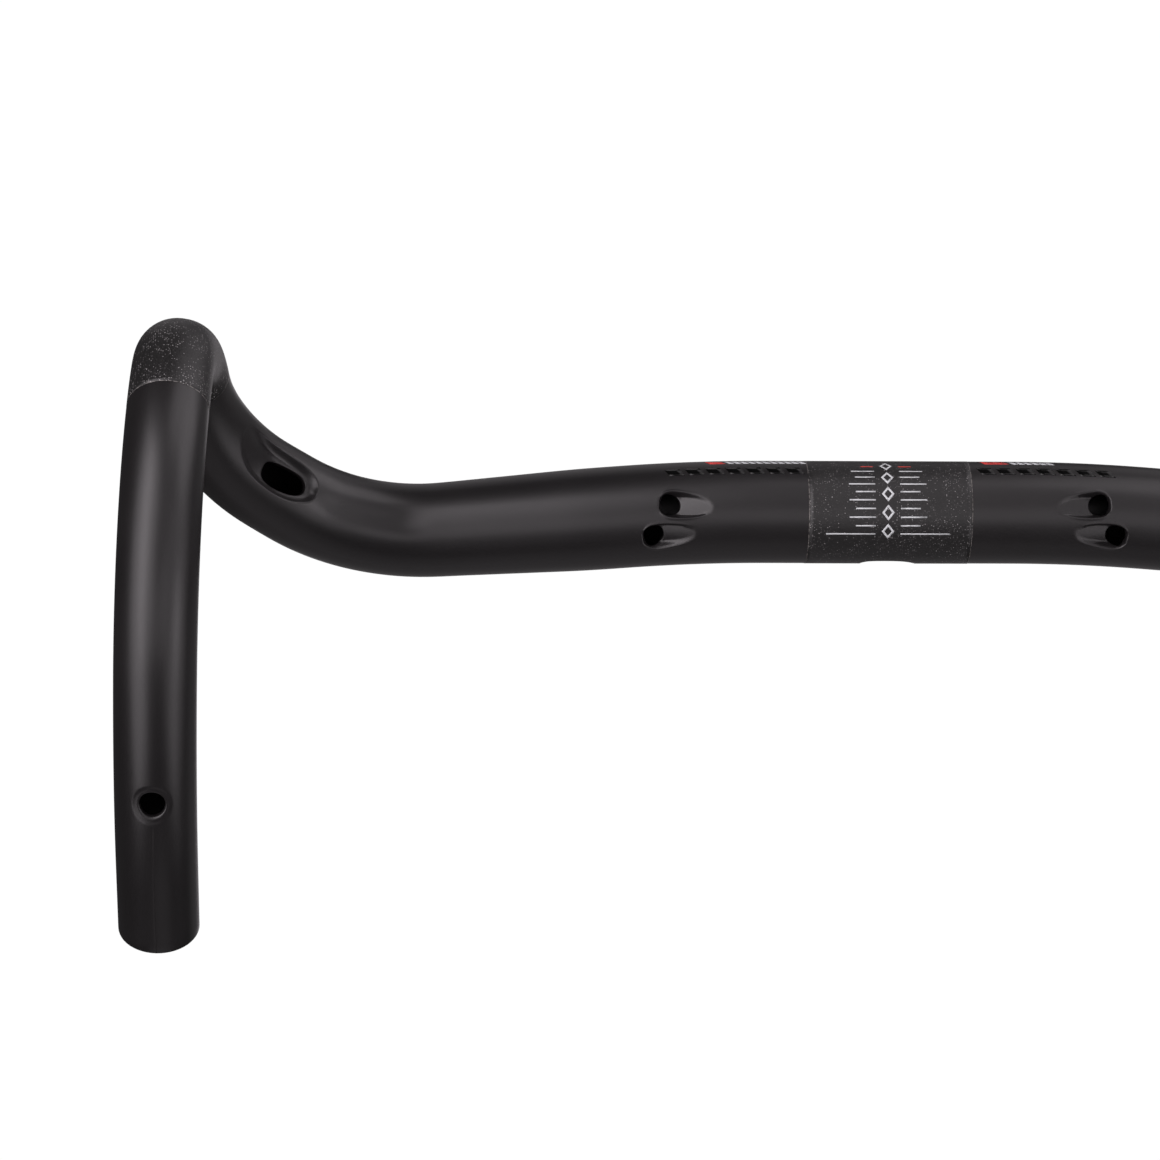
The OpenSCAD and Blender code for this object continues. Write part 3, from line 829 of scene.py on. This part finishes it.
def buildLights(right, up, back):
    middle = (cadBox[0] + cadBox[1]) / 2
    reach = studio["reach"]
    for number, (left, above, wide, tall, strength) in enumerate(softboxes):
        swing = Matrix.Rotation(radians(-left), 3, up)
        sideways = swing @ right
        lift = Matrix.Rotation(radians(-above), 3, sideways)
        toLight = lift @ (swing @ back)
        data = bpy.data.lights.new(f"softbox{number}", "AREA")
        data.shape = "RECTANGLE"
        data.size, data.size_y = (2 * reach * tan(radians(angle / 2)) for angle in (wide, tall))
        data.energy = strength * data.size * data.size_y * studio["watts"]
        data.color = studio["tint"]
        light = bpy.data.objects.new(f"softbox{number}", data)
        light.visible_camera = False
        placed(light, sideways, lift @ up, toLight, middle + toLight * reach)


def buildWorld():
    # A dim room for light and reflections; the camera itself sees white paper
    world = bpy.data.worlds.new("studio")
    bpy.context.scene.world = world
    world.use_nodes = True
    tree = world.node_tree
    background = tree.nodes["Background"].inputs
    seen = Wire(tree).make("LightPath", out="Is Camera Ray")
    strength = studio["ambient"] + seen * (studio["paper"] - studio["ambient"])
    tree.links.new(strength.socket, background["Strength"])
    background["Color"].default_value = rgb(1.0, 1.0, 1.0)


floorLook = {"height": -2.6, "size": 80.0, "roughness": 0.9, "glow": 0.93, "patches": 3.0,
             "colours": (rgb(0.80, 0.80, 0.79), rgb(0.83, 0.83, 0.82)),
             "glows": (rgb(1, 1, 0.99), rgb(0.98, 0.98, 0.98))}


def buildFloor(look):
    half, z = look["size"] / 2, look["height"]
    mesh = bpy.data.meshes.new("floor")
    corners = [(-half, -half, z), (half, -half, z), (half, half, z), (-half, half, z)]
    mesh.from_pydata(corners, [], [(0, 1, 2, 3)])
    floor = bpy.data.objects.new("floor", mesh)
    bpy.context.scene.collection.objects.link(floor)
    material, start, connect = newMaterial("paleFloor", Roughness=look["roughness"],
                                           Emission_Strength=look["glow"])
    tone = noise(start, objectPlace(start), look["patches"])
    connect(Base_Color=tone.mix(*look["colours"]), Emission_Color=tone.mix(*look["glows"]))
    mesh.materials.append(material)
    floor.visible_glossy = floor.visible_diffuse = False


buildLights(*buildCamera())
buildWorld()
buildFloor(floorLook)
bpy.context.scene.view_settings.view_transform = "Standard"
print("camera, light and floor placed")

shell = buildShell()
print("shell:", len(shell.data.polygons), "faces")
buildCoats()
pale, red, gloss = (printMaterial(name, *values) for name, values in inks.items())
buildScale(pale, red)
buildPrints(pale, red, gloss)
print("coats and prints made")

# The inner plies keep their CAD meshes and only take a finish
laminate = laminateMaterial(laminateLook)
plies = ["stem_reinforcement"] + bothSides("lever_reinforcement")
for name in plies:
    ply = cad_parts[name].data
    ply.materials.clear()
    ply.materials.append(laminate)
print("laminate on", len(plies), "carried-over nodes")
